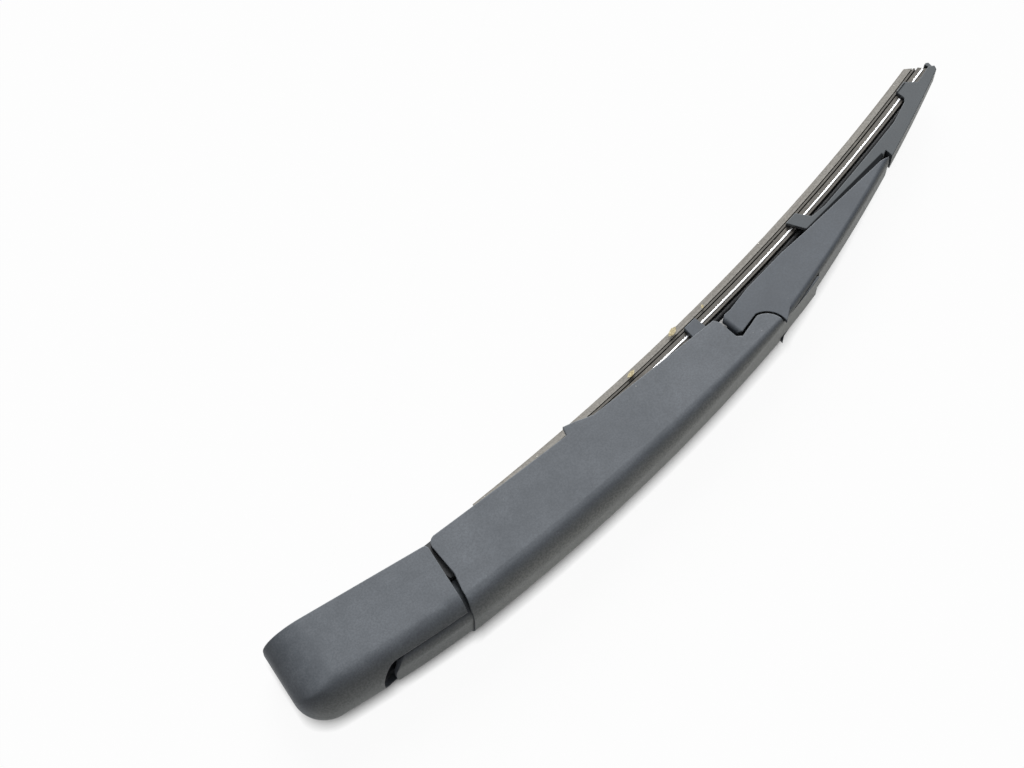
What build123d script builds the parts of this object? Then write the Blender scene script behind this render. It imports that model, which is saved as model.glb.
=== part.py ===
"""Rear wiper arm with its blade, lying on its side.

Frame, millimetres: the origin is on the spindle axis at the head's mouth, +X runs from the spindle
to the blade's tip, +Y is towards the glass along the spindle, and +Z is across the arm.
"""
import math
import os

from build123d import *

# Head cover
HEAD_WIDTH = 26.0
HEAD_END = 20.0
HEAD_LENGTH = 77.5
HEAD_DEPTH = 38.2
COVER_WALL = 2.0
COVER_CORNER_R = 14.0
COVER_ROLL_R = 11.2
COVER_END_ROUND = 18.0
COVER_CROWN_R = 945.0
COVER_MOUTH_R = 2.0
SEAM_SLANT = 1.3

# Arm channel
SEAM_GAP = 1.0
ARM_LENGTH = 187.0
ARM_WALL = 2.0
ARM_TIP_WIDTH = 19.0
ARM_BOW_R = 880.0
ARM_ROOT_ANGLE = 6.9
ARM_ROOT_STEP = 0.4
ARM_ROOT_ROLL = 9.0
ARM_TIP_ROLL = 2.5
ARM_ROLL_FALL = 2.2
ARM_RIM_LIFT = 1.9
ARM_RIM_RISE = 17.2
ARM_RIM_SAG = 0.8
ARM_MOUTH_R = 3.2
GUARD_X = 74.0
GUARD_HEIGHT = 4.2
GUARD_LENGTH = 15.0
RIM_END_BACK = 17.2

# Hinge between head, arm and cover
HINGE_X = 28.0
HINGE_DEPTH = 25.0
HINGE_PIN_R = 2.5
HINGE_BUSH_R = 4.0
HINGE_LUG_R = 7.0
HEAD_HUB_R = 5.5
TONGUE_WIDTH = 18.0
TONGUE_PAST = 8.1
TONGUE_WALL = 2.1
TONGUE_CORNER_R = 7.8
TONGUE_ROLL_R = 4.5
TONGUE_SLOT_GAP = 0.4
TONGUE_END_GAP = 6.0
TONGUE_SET = 0.4
TONGUE_SAG = 0.9
LUG_RUN = 16.0
COVER_BOSS_R = 5.0

# Die-cast mounting head
SPINDLE_BORE_R = 5.0
SPINDLE_BORE_LENGTH = 10.0
SPINDLE_THREAD_R = 4.2
SPINDLE_BOSS_R = 9.8
SPINDLE_BOSS_HEIGHT = 21.0
NECK_R = 6.0
NECK_X = 5.0
NECK_DEPTH = 12.0

# Spring and its link
LINK_PIVOT = (8.0, 8.0)
LINK_EYE_R = 4.2
LINK_PIN_R = 1.6
LINK_LENGTH = 22.0
LINK_THICKNESS = 3.2
LINK_SWING = 56.0
ANCHOR_RUN = 79.0
ANCHOR_LIFT = 6.6
ANCHOR_PIN_R = 1.8
SPRING_R = 3.8
SPRING_WIRE_R = 0.7
SPRING_PITCH = 2.6
HOOK_SET = 0.3

# Blade line and rubber section, measured back from the lip
BLADE_LENGTH = 313.0
BLADE_SHIFT = 4.2
BLADE_BOW_R = 1286.0
BLADE_MID_BACK = 1.5
BLADE_DROP = 30.9
BLADE_MID_ANGLE = 15.57
LIP_HEIGHT = 3.3
LIP_TIP = 0.7
LIP_SHOULDER = 3.2
NECK_WIDTH = 1.3
GROOVE_WIDTH = 0.5
RIB_HEIGHT = 0.9
RIB_WIDTH = 3.6
CLAW_GROOVE = 0.9
RUBBER_BODY = 2.0
RUBBER_WIDTH = 5.6
HEEL_HEIGHT = 1.3
RUBBER_END_SLANT = 5.5
STRIP_THICKNESS = 0.8
STRIP_WIDTH = 2.0
STRIP_PROUD = 0.25
STRIP_SHORT = 2.0

# Blade levers
BLADE_PIVOT_BACK = 10.3
BLADE_PIVOT_LIFT = 7.2
BLADE_PIN_R = 2.0
INSERT_R = 3.2
HUB_R = 4.6
NOSE_R = 8.9
NOSE_DROP = 4.4
NOSE_GAP = 1.1
BACK_START_ANGLE = 22.5
BACK_BOW_R = 1010.0
BACK_TONGUE_LENGTH = 26.0
BACK_TONGUE_WIDTH = 14.4
BACK_TONGUE_WALL = 2.0
BACK_TONGUE_PROUD = 1.0
BACK_TONGUE_SAG = 0.3
BACK_TONGUE_SINK = 0.6
BACK_TONGUE_ROOM = 1.2
PRIMARY_WIDTH = 20.0
PRIMARY_TIP_WIDTH = 13.8
PRIMARY_ROLL_R = 2.4
PRIMARY_WALL = 1.8
PRIMARY_WEB = 2.0
PRIMARY_NOSE_BAND = 2.6
PRIMARY_TIP_RUN = 102.5
PRIMARY_EDGE = 13.8
PRIMARY_NEAR_R = 5.2
FAR_PIVOT_RUN = 79.5
FAR_PIVOT_LIFT = 5.2
LEVER_WIDTH = 9.8
LEVER_WALL = 1.6
LEVER_WEB = 1.8
LEVER_PIN_R = 1.3
LEVER_HUB_R = 2.7
LEVER_ARCH = 12.9
FAR_INNER_CLAW = 48.2
FAR_CLAW_SHORT = 18.7
FAR_TIP_PAST = 2.0
FAR_TIP_WIDTH = 8.6
FAR_STEP_DEPTH = 4.0
END_STOP_GAP = 0.4
END_STOP_WALL = 2.2
END_STOP_WIDTH = 6.6
END_STOP_BACK = 7.5
NEAR_INNER_CLAW = 25.0
NEAR_OUTER_CLAW = 134.0
NEAR_TIP_RUN = 9.0
CLAW_LENGTH = 7.0
CLAW_LIP = 0.6
CLAW_DEPTH = 4.85

# Fits
PIN_FIT = 0.03
RUN_GAP = 0.3
OVERRUN = 40.0


class Bow:
    """A shallow arc that sags away from the glass, known by its start, start angle and radius."""

    def __init__(self, start, angle, radius):
        lean = math.radians(angle)
        self.radius = radius
        self.cx = start[0] - radius * math.sin(lean)
        self.cy = start[1] + radius * math.cos(lean)

    @classmethod
    def through(cls, start, end, sag):
        """Arc between two points with a given sag below their chord."""
        chord = math.dist(start, end)
        radius = chord * chord / (8 * sag) + sag / 2
        slope = math.degrees(math.atan2(end[1] - start[1], end[0] - start[0]))
        return cls(start, slope - math.degrees(math.asin(chord / (2 * radius))), radius)

    def lean(self, x, offset=0.0):
        return math.asin((x - self.cx) / (self.radius - offset))

    def y(self, x, offset=0.0):
        return self.cy - (self.radius - offset) * math.cos(self.lean(x, offset))

    def at(self, x, offset=0.0):
        """Point at x on the arc moved towards the glass by offset."""
        return (x, self.y(x, offset))

    def normal(self, x, offset):
        """Point offset towards the glass along the normal that leaves the arc at x."""
        lean = self.lean(x)
        return (x - offset * math.sin(lean), self.y(x) + offset * math.cos(lean))

    def edge(self, x0, x1, offset=0.0):
        mid = 0.5 * (x0 + x1)
        return ThreePointArc(self.at(x0, offset), self.at(mid, offset), self.at(x1, offset))


def blade(s, back=0.0):
    """Point s along the blade from its middle, and back from the lip towards the outer side."""
    turn = math.radians(BLADE_MID_ANGLE) + s / BLADE_BOW_R
    reach = BLADE_BOW_R + back
    return (BLADE_CENTRE[0] + reach * math.sin(turn), BLADE_CENTRE[1] - reach * math.cos(turn))


def blade_edge(s0, s1, back):
    return ThreePointArc(blade(s0, back), blade(0.5 * (s0 + s1), back), blade(s1, back))


def shift(point, dx, dy):
    return (point[0] + dx, point[1] + dy)


def polar(centre, radius, degrees):
    turn = math.radians(degrees)
    return (centre[0] + radius * math.cos(turn), centre[1] + radius * math.sin(turn))


def outline(*pieces):
    """Face on the XY plane from edges and points in order; points are joined by lines."""
    edges = []
    last = None
    first = None
    for piece in pieces:
        if isinstance(piece, tuple):
            start = end = Vector(*piece)
        else:
            start, end = piece @ 0, piece @ 1
        if last is None:
            first = start
        elif (start - last).length > 1e-6:
            edges.append(Line(last, start))
        if not isinstance(piece, tuple):
            edges.append(piece)
        last = end
    if (first - last).length > 1e-6:
        edges.append(Line(last, first))
    return make_face(edges)


def slab(face, half):
    """Face thickened to both sides of the middle plane."""
    return extrude(face, amount=half, both=True)


def plan_prism(points):
    """Prism along Y over a mirrored plan: points are (x, half width)."""
    ring = [(x, h) for x, h in points] + [(x, -h) for x, h in reversed(points)]
    plan = Plane(origin=(0, -2 * OVERRUN, 0), x_dir=(1, 0, 0), z_dir=(0, 1, 0))
    face = plan * make_face(Polyline(*ring, close=True))
    return extrude(face, amount=6 * OVERRUN, dir=(0, 1, 0))


def post(point, radius, z0, z1):
    """Round post along Z."""
    height = z1 - z0
    return Pos(point[0], point[1], z0) * Cylinder(radius, height, align=(Align.CENTER, Align.CENTER, Align.MIN))


def both_sides(solid):
    return solid + mirror(solid, about=Plane.XY)


# Places worked out from the sizes above
HALF_HEAD = HEAD_WIDTH / 2
SEAM_X = HEAD_LENGTH - HEAD_END
ARM_X0 = SEAM_X + SEAM_GAP + SEAM_SLANT
ARM_X1 = ARM_X0 + ARM_LENGTH
HINGE = (HINGE_X, -HINGE_DEPTH)
LINK_PIN = shift(HINGE, *LINK_PIVOT)
CROWN = Bow((COVER_CORNER_R - HEAD_END, -HEAD_DEPTH), 0.0, COVER_CROWN_R)
ARM_OUTER = Bow((ARM_X0, CROWN.y(SEAM_X) + ARM_ROOT_STEP), ARM_ROOT_ANGLE, ARM_BOW_R)
BACK = Bow(ARM_OUTER.at(ARM_X1), BACK_START_ANGLE, BACK_BOW_R)
PIVOT = shift(ARM_OUTER.at(ARM_X1 - BLADE_PIVOT_BACK), 0, BLADE_PIVOT_LIFT)
NOSE = shift(PIVOT, 0, -NOSE_DROP)
BLADE_TURN = math.radians(BLADE_MID_ANGLE)
BLADE_MID = shift(PIVOT, -BLADE_MID_BACK, BLADE_DROP)
BLADE_CENTRE = shift(BLADE_MID, -BLADE_BOW_R * math.sin(BLADE_TURN), BLADE_BOW_R * math.cos(BLADE_TURN))
RUBBER_NEAR_END = BLADE_SHIFT - BLADE_LENGTH / 2
RUBBER_FAR_END = BLADE_SHIFT + BLADE_LENGTH / 2
ARM_RIM = Bow.through(
    (ARM_X0 + ARM_MOUTH_R - 1.0, ARM_RIM_LIFT), shift(NOSE, -RIM_END_BACK, ARM_RIM_RISE), ARM_RIM_SAG
)
SEAM_SWING = math.dist(HINGE, CROWN.at(SEAM_X - SEAM_SLANT)) + 0.5
ANCHOR_X = HINGE_X + ANCHOR_RUN
ANCHOR = ARM_OUTER.normal(ANCHOR_X, ANCHOR_LIFT)
PRIMARY_TIP_X = PIVOT[0] + PRIMARY_TIP_RUN
FAR_PIVOT_X = PIVOT[0] + FAR_PIVOT_RUN
FAR_PIN = BACK.normal(FAR_PIVOT_X, FAR_PIVOT_LIFT)
FAR_REACH = math.dist(FAR_PIN, BLADE_CENTRE)
PIN_BACK = FAR_REACH - BLADE_BOW_R
FAR_TURN = math.atan2(FAR_PIN[0] - BLADE_CENTRE[0], BLADE_CENTRE[1] - FAR_PIN[1])
PIN_RUN = (FAR_TURN - BLADE_TURN) * BLADE_BOW_R
NEAR_PIN = blade(-PIN_RUN, PIN_BACK)
FAR_OUTER_CLAW = RUBBER_FAR_END - FAR_CLAW_SHORT
STRIP_BACK = LIP_HEIGHT + GROOVE_WIDTH + RIB_HEIGHT + CLAW_GROOVE + RUBBER_BODY
RUBBER_HEIGHT = STRIP_BACK + STRIP_THICKNESS + HEEL_HEIGHT
FAR_TIP_X = blade(RUBBER_FAR_END, RUBBER_HEIGHT)[0] + FAR_TIP_PAST
TONGUE_INNER = TONGUE_WIDTH / 2 - TONGUE_WALL
TONGUE_END_X = HINGE_X - TONGUE_PAST
TONGUE_LINE = Bow.through(
    CROWN.at(TONGUE_END_X, TONGUE_SET), ARM_OUTER.at(ARM_X0 + LUG_RUN, TONGUE_SET + 0.4), TONGUE_SAG
)
PRIMARY_IN = LEVER_WIDTH / 2 + RUN_GAP


def arm_half(x):
    """Half width of the arm, tapering from the head to the blade."""
    share = (x - ARM_X0) / ARM_LENGTH
    return HALF_HEAD + (ARM_TIP_WIDTH / 2 - HALF_HEAD) * share


def arm_rim(x):
    """Height of the arm's glass-side rim."""
    return ARM_RIM.y(x)


def cover_block(inset, mouth, seam):
    """Rounded block of the cover, or of its hollow when inset by the wall."""
    end = inset - HEAD_END
    outer = inset - HEAD_DEPTH
    corner = COVER_CORNER_R - inset
    crown_x = end + corner
    seam_x = SEAM_X + seam
    corner_arc = ThreePointArc(
        (end, outer + corner), polar((crown_x, outer + corner), corner, 225), (crown_x, outer)
    )
    crown_arc = CROWN.edge(crown_x, seam_x - SEAM_SLANT, inset)
    face = outline((seam_x, mouth), (end, mouth), corner_arc, crown_arc)
    block = slab(face, HALF_HEAD - inset)
    tall = block.faces().filter_by(Axis.Z)
    rolled = [e for e in tall.edges() if not on_open_side(e, mouth, seam_x)]
    return fillet(rolled, COVER_ROLL_R - inset)


def on_open_side(edge, mouth, seam_x):
    """True for the edges at the cover's glass side and at its seam with the arm."""
    middle = edge @ 0.5
    return abs(middle.Y - mouth) < 0.01 or middle.X > seam_x - SEAM_SLANT - 0.01


def cover_end_round(inset):
    """Prism along Y whose plan rounds off the cover's end."""
    half = HALF_HEAD - inset
    round_x = COVER_END_ROUND - inset
    round_z = half - 2.0
    centre = inset - HEAD_END + round_x
    upper = EllipticalCenterArc((centre, half - round_z), round_x, round_z, 90, arc_size=90)
    lower = EllipticalCenterArc((centre, round_z - half), round_x, round_z, 180, arc_size=90)
    face = outline((4 * OVERRUN, half), upper, lower, (4 * OVERRUN, -half))
    plan = Plane(origin=(0, -2 * OVERRUN, 0), x_dir=(1, 0, 0), z_dir=(0, 1, 0))
    return extrude(plan * face, amount=6 * OVERRUN, dir=(0, 1, 0))


def make_head_cover():
    shell = cover_block(0, 0, 0)
    mouth_edge = shell.edges().filter_by(Axis.Z).sort_by(Axis.X)[-1:]
    shell = fillet([e for e in mouth_edge if abs((e @ 0).Y) < 0.01], COVER_MOUTH_R)
    shell &= cover_end_round(0)
    shell -= cover_block(COVER_WALL, OVERRUN, OVERRUN) & cover_end_round(COVER_WALL)
    slot_half = TONGUE_WIDTH / 2 + TONGUE_SLOT_GAP
    slot_x0 = TONGUE_END_X - TONGUE_END_GAP
    slot = Box(OVERRUN * 2, OVERRUN, 2 * slot_half, align=(Align.MIN, Align.MAX, Align.CENTER))
    slot = Pos(slot_x0, COVER_ROLL_R - HEAD_DEPTH, 0) * slot
    slot_ends = slot.edges().filter_by(Axis.Y).group_by(Axis.X)[0]
    shell -= fillet(slot_ends, TONGUE_CORNER_R + TONGUE_SLOT_GAP)
    boss_z = TONGUE_WIDTH / 2 + RUN_GAP
    boss = post(HINGE, COVER_BOSS_R, boss_z, HALF_HEAD - COVER_WALL / 2)
    pin_hole = post(HINGE, HINGE_PIN_R + PIN_FIT, 0, HALF_HEAD - COVER_WALL / 2)
    shell += both_sides(boss)
    return shell - both_sides(pin_hole)


def make_mounting_head():
    boss = Cylinder(SPINDLE_BOSS_R, SPINDLE_BOSS_HEIGHT, rotation=(90, 0, 0))
    boss = Pos(0, -SPINDLE_BOSS_HEIGHT / 2, 0) * boss
    neck_half = TONGUE_INNER - RUN_GAP
    rings = [
        Pos(NECK_X, -NECK_DEPTH) * CenterArc((0, 0), NECK_R, 0, 360),
        Pos(*HINGE) * CenterArc((0, 0), HEAD_HUB_R, 0, 360),
        Pos(*LINK_PIN) * CenterArc((0, 0), LINK_EYE_R, 0, 360),
    ]
    neck = slab(make_hull([e for ring in rings for e in ring.edges()]), neck_half)
    head = boss + neck
    slot_half = LINK_THICKNESS / 2 + RUN_GAP
    link_slot = post(LINK_PIN, LINK_EYE_R + RUN_GAP, -slot_half, slot_half)
    swing = Box(OVERRUN, OVERRUN, 2 * slot_half, align=(Align.MIN, Align.MAX, Align.CENTER))
    head -= link_slot + Pos(LINK_PIN[0], LINK_PIN[1] + LINK_EYE_R + RUN_GAP, 0) * swing
    head -= slab(link_outline(LINK_EYE_R + RUN_GAP, LINK_SWING), slot_half)
    head -= post(HINGE, HINGE_PIN_R + PIN_FIT, -neck_half, neck_half)
    head -= post(LINK_PIN, LINK_PIN_R + PIN_FIT, -neck_half, neck_half)
    thread = Pos(0, -SPINDLE_BOSS_HEIGHT / 2, 0) * Cylinder(
        SPINDLE_THREAD_R, 2 * SPINDLE_BOSS_HEIGHT, rotation=(90, 0, 0)
    )
    seat = Pos(0, -SPINDLE_BORE_LENGTH / 2, 0) * Cylinder(
        SPINDLE_BORE_R, SPINDLE_BORE_LENGTH, rotation=(90, 0, 0)
    )
    return head - thread - seat


def arm_section(x, inset):
    """Channel section of the arm at x, open far above the rim."""
    half = arm_half(x) - inset
    bottom = ARM_OUTER.y(x) + inset
    share = (x - ARM_X0) / ARM_LENGTH
    fall = max(share, 0.0) ** ARM_ROLL_FALL
    roll = max(ARM_ROOT_ROLL + (ARM_TIP_ROLL - ARM_ROOT_ROLL) * fall - inset, 0.4)
    top = arm_rim(x) + OVERRUN
    flat = half - roll
    upper = ThreePointArc((bottom + roll, half), polar((bottom + roll, flat), roll, 135), (bottom, flat))
    lower = ThreePointArc((bottom, -flat), polar((bottom + roll, -flat), roll, 225), (bottom + roll, -half))
    station = Plane(origin=(x, 0, 0), x_dir=(0, 1, 0), z_dir=(1, 0, 0))
    return station * outline((top, half), upper, lower, (top, -half))


def arm_loft(inset):
    stations = 7
    x0 = ARM_X0 - ARM_WALL
    x1 = ARM_X1 + ARM_WALL
    sections = [arm_section(x0 + (x1 - x0) * i / (stations - 1), inset) for i in range(stations)]
    return loft(sections)


def arm_side():
    """Side view of the arm's channel: seam, rim with its guard, and the nose round the blade pivot."""
    rim_end = PIVOT[0] - RIM_END_BACK
    guard = ARM_X0 + GUARD_X
    root = ARM_X0 + ARM_MOUTH_R - 1.0
    seam_arc = ThreePointArc(
        polar(HINGE, SEAM_SWING, -50), polar(HINGE, SEAM_SWING, -25), polar(HINGE, SEAM_SWING, 0)
    )
    mouth_arc = ThreePointArc(
        (ARM_X0 - 0.9, -ARM_MOUTH_R), (ARM_X0 - 0.2, 0.1 * ARM_RIM_LIFT), (root, arm_rim(root))
    )
    nose_arc = ThreePointArc(polar(NOSE, NOSE_R, 88), polar(NOSE, NOSE_R, 45), polar(NOSE, NOSE_R, -10))
    return outline(
        seam_arc,
        (ARM_X0 + 0.4, -0.45 * HEAD_DEPTH),
        mouth_arc,
        ARM_RIM.edge(root, guard),
        (guard + 0.8, arm_rim(guard) + GUARD_HEIGHT),
        (guard + 0.45 * GUARD_LENGTH, arm_rim(guard) + GUARD_HEIGHT - 0.6),
        ARM_RIM.edge(guard + GUARD_LENGTH, rim_end),
        shift(NOSE, -15.3, 14.7),
        shift(NOSE, -13.5, 5.4),
        shift(NOSE, -11.0, 3.9),
        nose_arc,
        (NOSE[0] + NOSE_R, -2 * OVERRUN),
        ((seam_arc @ 0).X, -2 * OVERRUN),
    )


def tongue_block(inset):
    """Hinge channel of the arm: its web lies in the cover's slot and its lugs straddle the head."""
    half = TONGUE_WIDTH / 2 - inset
    extra = OVERRUN if inset else 0
    x0 = TONGUE_END_X - extra
    x1 = ARM_X0 + LUG_RUN + extra
    top = OVERRUN if inset else HINGE_LUG_R - HINGE_DEPTH
    face = outline((x0, top), TONGUE_LINE.edge(x0, x1, inset), (x1, top))
    block = slab(face, half)
    outer_edges = [
        e for e in block.faces().filter_by(Axis.Z).edges()
        if (e @ 0.5).Y < HINGE[1] - HINGE_LUG_R and abs((e % 0.5).Y) < 0.6
    ]
    return fillet(outer_edges, TONGUE_ROLL_R - inset)


def make_arm_tongue():
    lugs = tongue_block(0) - tongue_block(TONGUE_WALL)
    end = TONGUE_END_X
    half = TONGUE_WIDTH / 2
    plan = plan_prism([(end, half), (ARM_X0 + OVERRUN, half)])
    plan_edges = plan.edges().filter_by(Axis.Y).group_by(Axis.X)[0]
    lugs &= fillet(plan_edges, TONGUE_CORNER_R)
    relief = outline(
        (end - OVERRUN, HINGE[1] - HINGE_LUG_R + 0.5),
        shift(HINGE, -HINGE_LUG_R, 0),
        ThreePointArc(
            shift(HINGE, -HINGE_LUG_R, 0), polar(HINGE, HINGE_LUG_R, 135), shift(HINGE, 0, HINGE_LUG_R)
        ),
        (HINGE[0], OVERRUN),
        (end - OVERRUN, OVERRUN),
    )
    lugs -= slab(relief, HEAD_WIDTH)
    return lugs - post(HINGE, HINGE_BUSH_R + PIN_FIT, -HEAD_WIDTH, HEAD_WIDTH)


def make_arm_body():
    shell = (arm_loft(0) - arm_loft(ARM_WALL)) & slab(arm_side(), HEAD_WIDTH)
    back_end = ARM_X1 + BACK_TONGUE_LENGTH
    inner = BACK_TONGUE_WALL - BACK_TONGUE_PROUD
    root_x = NOSE[0] + 0.5 * NOSE_R
    tip = BACK.normal(back_end, -BACK_TONGUE_PROUD)
    outer = Bow.through(ARM_OUTER.at(root_x, BACK_TONGUE_SINK), tip, BACK_TONGUE_SAG)
    back_tongue = outline(
        outer.edge(root_x, tip[0]),
        BACK.normal(back_end, inner),
        BACK.normal(0.5 * (ARM_X1 + back_end), inner),
        BACK.normal(ARM_X1, inner),
        ARM_OUTER.at(root_x, ARM_WALL - 0.5),
    )
    arm = shell + slab(back_tongue, BACK_TONGUE_WIDTH / 2)
    arm += make_arm_tongue()
    anchor_half = arm_half(ANCHOR_X) - ARM_WALL / 2
    anchor_boss = both_sides(post(ANCHOR, ANCHOR_PIN_R + 2.0, SPRING_R + 1.2, HEAD_WIDTH))
    arm += anchor_boss & arm_loft(ARM_WALL / 2)
    arm -= post(ANCHOR, ANCHOR_PIN_R + PIN_FIT, -anchor_half, anchor_half)
    pivot_half = arm_half(PIVOT[0]) - ARM_WALL / 2
    return arm - post(PIVOT, BLADE_PIN_R + PIN_FIT, -pivot_half, pivot_half)


def link_far_end(swing=0.0):
    """Hole for the spring's hook, with the link at rest or swung towards the outer side."""
    rest = math.degrees(math.atan2(ANCHOR[1] - LINK_PIN[1], ANCHOR[0] - LINK_PIN[0]))
    return polar(LINK_PIN, LINK_LENGTH, rest - swing)


def link_outline(radius, swing=0.0):
    rings = [Pos(*p) * CenterArc((0, 0), radius, 0, 360) for p in (LINK_PIN, link_far_end(swing))]
    return make_hull([e for ring in rings for e in ring.edges()])


def make_spring_link():
    far = link_far_end()
    link = slab(link_outline(LINK_EYE_R - RUN_GAP), LINK_THICKNESS / 2)
    link -= post(LINK_PIN, LINK_PIN_R + PIN_FIT, -LINK_THICKNESS, LINK_THICKNESS)
    return link - post(far, SPRING_WIRE_R + 0.8, -LINK_THICKNESS, LINK_THICKNESS)


def make_tension_spring():
    """Close-wound spring drawn out a little, with a ring at each end for link and anchor."""
    towards = math.atan2(ANCHOR[1] - LINK_PIN[1], ANCHOR[0] - LINK_PIN[0])
    along = Vector(math.cos(towards), math.sin(towards), 0)
    start = Vector(*LINK_PIN) + along * (LINK_LENGTH + 2 * SPRING_R - SPRING_WIRE_R - 0.5)
    end = Vector(*ANCHOR) - along * (ANCHOR_PIN_R + SPRING_R)
    run = (end - start).length
    turns = max(round(run / SPRING_PITCH), 2)
    coil_plane = Plane(origin=start, x_dir=(0, 0, 1), z_dir=along)
    path = Helix(pitch=run / turns, height=run, radius=SPRING_R)
    section = Plane(origin=path @ 0, z_dir=path % 0) * Circle(SPRING_WIRE_R)
    coil = coil_plane * sweep(section, path=path, is_frenet=True)
    link_hole = Vector(*LINK_PIN) + along * LINK_LENGTH
    link_ring = Plane(origin=link_hole + along * (SPRING_R + HOOK_SET), z_dir=along.cross(Vector(0, 0, 1)))
    coil += link_ring * Torus(SPRING_R, SPRING_WIRE_R)
    ring_r = ANCHOR_PIN_R + SPRING_WIRE_R + HOOK_SET
    ring_centre = Vector(*ANCHOR) - along * (HOOK_SET - PIN_FIT)
    coil += Pos(*ring_centre) * Torus(ring_r, SPRING_WIRE_R)
    return coil + wire(coil_plane.from_local_coords(path @ 1), ring_centre - along * ring_r)


def wire(start, end):
    """Straight piece of spring wire with round ends."""
    stem = Plane(origin=start, z_dir=end - start) * Cylinder(
        SPRING_WIRE_R, (end - start).length, align=(Align.CENTER, Align.CENTER, Align.MIN)
    )
    return stem + Pos(*start) * Sphere(SPRING_WIRE_R)


def revolve_blade(points, s0, s1):
    """Section of (back, z) points revolved along the blade's bow."""
    turn = BLADE_TURN + s0 / BLADE_BOW_R
    plane = Plane(
        origin=(BLADE_CENTRE[0], BLADE_CENTRE[1], 0),
        x_dir=(math.sin(turn), -math.cos(turn), 0),
        z_dir=(-math.cos(turn), -math.sin(turn), 0),
    )
    face = plane * make_face(Polyline(*[(BLADE_BOW_R + b, z) for b, z in points], close=True))
    axis = Axis((BLADE_CENTRE[0], BLADE_CENTRE[1], 0), (0, 0, 1))
    return revolve(face, axis, math.degrees((s1 - s0) / BLADE_BOW_R))


def make_rubber():
    groove = LIP_HEIGHT + GROOVE_WIDTH
    rib = groove + RIB_HEIGHT
    body = rib + CLAW_GROOVE
    heel = STRIP_BACK + STRIP_THICKNESS
    half = RUBBER_WIDTH / 2
    slot_floor = half + STRIP_PROUD - STRIP_WIDTH
    side = [
        (0, LIP_TIP / 2),
        (LIP_HEIGHT, LIP_SHOULDER / 2),
        (LIP_HEIGHT, NECK_WIDTH / 2),
        (groove, NECK_WIDTH / 2),
        (groove, RIB_WIDTH / 2),
        (rib, RIB_WIDTH / 2),
        (rib, NECK_WIDTH / 2),
        (body, NECK_WIDTH / 2),
        (body, half),
        (STRIP_BACK, half),
        (STRIP_BACK, slot_floor),
        (heel, slot_floor),
        (heel, half),
        (RUBBER_HEIGHT, half),
    ]
    section = side + [(b, -z) for b, z in reversed(side)]
    far_end = RUBBER_FAR_END
    rubber = revolve_blade(section, RUBBER_NEAR_END, far_end)
    cut = outline(
        blade(far_end - RUBBER_END_SLANT, -1),
        blade(far_end, RUBBER_HEIGHT + 1),
        blade(far_end + 5, RUBBER_HEIGHT + 1),
        blade(far_end + 5, -1),
    )
    return rubber - slab(cut, RUBBER_WIDTH)


def make_strip():
    outer = RUBBER_WIDTH / 2 + STRIP_PROUD
    inner = outer - STRIP_WIDTH + PIN_FIT
    near = STRIP_BACK + PIN_FIT
    far = STRIP_BACK + STRIP_THICKNESS - PIN_FIT
    section = [(near, inner), (near, outer), (far, outer), (far, inner)]
    return revolve_blade(section, RUBBER_NEAR_END + STRIP_SHORT, RUBBER_FAR_END - STRIP_SHORT)


def primary_side():
    """Side view of the main lever's shroud, from its seam with the arm's nose to its tip."""
    reach = NOSE_R + NOSE_GAP
    nose_arc = ThreePointArc(polar(NOSE, reach, 88), polar(NOSE, reach, 45), polar(NOSE, reach, -2))
    return outline(
        shift(NOSE, -7.6, 17.8),
        shift(NOSE, -11.4, 17.0),
        shift(NOSE, -13.9, 14.8),
        shift(NOSE, -12.1, 6.9),
        shift(NOSE, -9.6, 5.9),
        nose_arc,
        BACK.edge(ARM_X1 + 1.6, PRIMARY_TIP_X),
        shift(BACK.at(PRIMARY_TIP_X), 1.6, 1.9),
        blade(PIN_RUN + 23.4, 20.1),
        blade(PIN_RUN - 30.0, PRIMARY_EDGE + 1.5),
        blade(PIN_RUN - 47.0, PRIMARY_EDGE),
        blade(3.0, PRIMARY_EDGE),
    )


def is_primary_roll(edge):
    """True for the rolled edges: along the back, and round the end beside the arm."""
    middle = edge @ 0.5
    on_back = abs(middle.Y - BACK.y(middle.X)) < 0.05 and middle.X > ARM_X1 + 4
    at_end = middle.X < NOSE[0] - 9 and abs((edge % 0.5).Y) > 0.9
    return abs(middle.Z) > 2 and (on_back or at_end)


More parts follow.
